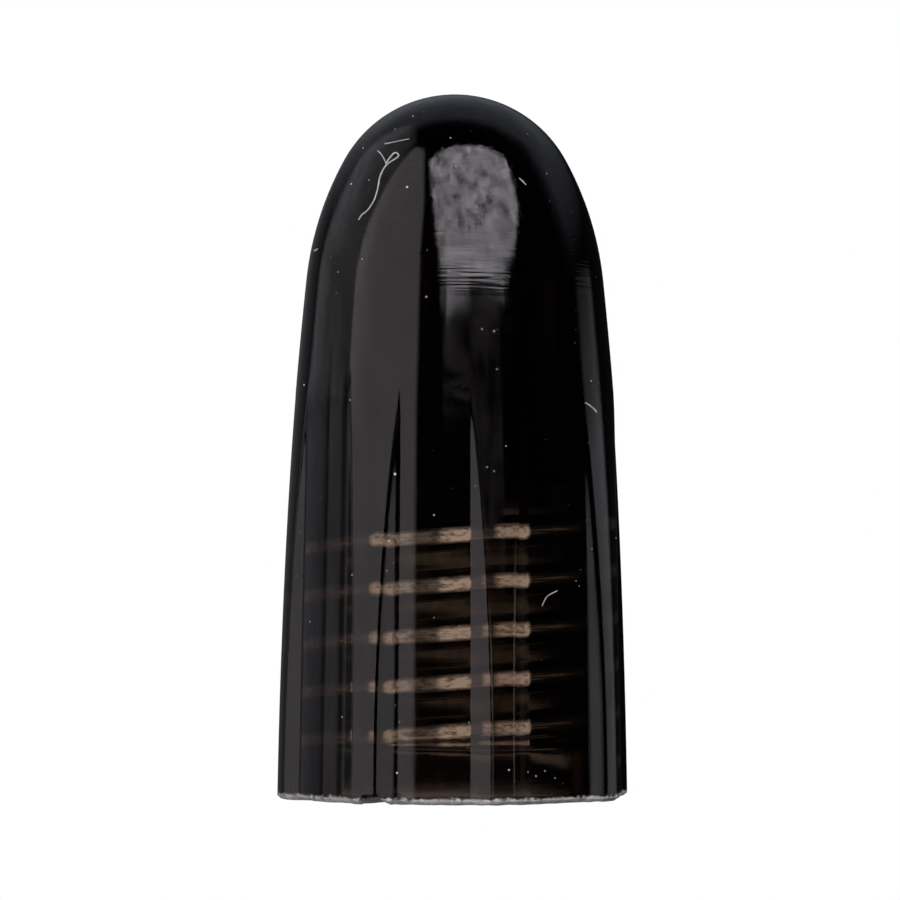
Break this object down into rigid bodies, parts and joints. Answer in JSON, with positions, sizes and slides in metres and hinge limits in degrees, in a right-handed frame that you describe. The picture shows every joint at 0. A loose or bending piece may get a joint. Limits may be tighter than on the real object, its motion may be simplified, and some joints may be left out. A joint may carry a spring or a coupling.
{
  "type": "bicycle valve cap",
  "caption": "Smoked see-through plastic cap with a round nose, shallow grip ribs and a threaded blind bore, screwed over a bicycle valve stem to keep dirt out.",
  "frame": {"origin": "centre of the mouth plane, on the axis of the cap", "axes": "+Z along the axis from the mouth to the nose, -Y is the front with the rim notch to its left, +X to the right seen from the front"},
  "size_m": [0.0078, 0.0078, 0.0157],
  "materials": {
    "smoked_plastic": "glossy, dark brown and see-through against strong light"
  },
  "bodies": {
    "root": {"cap": "smoked_plastic"}
  },
  "joints": []
}
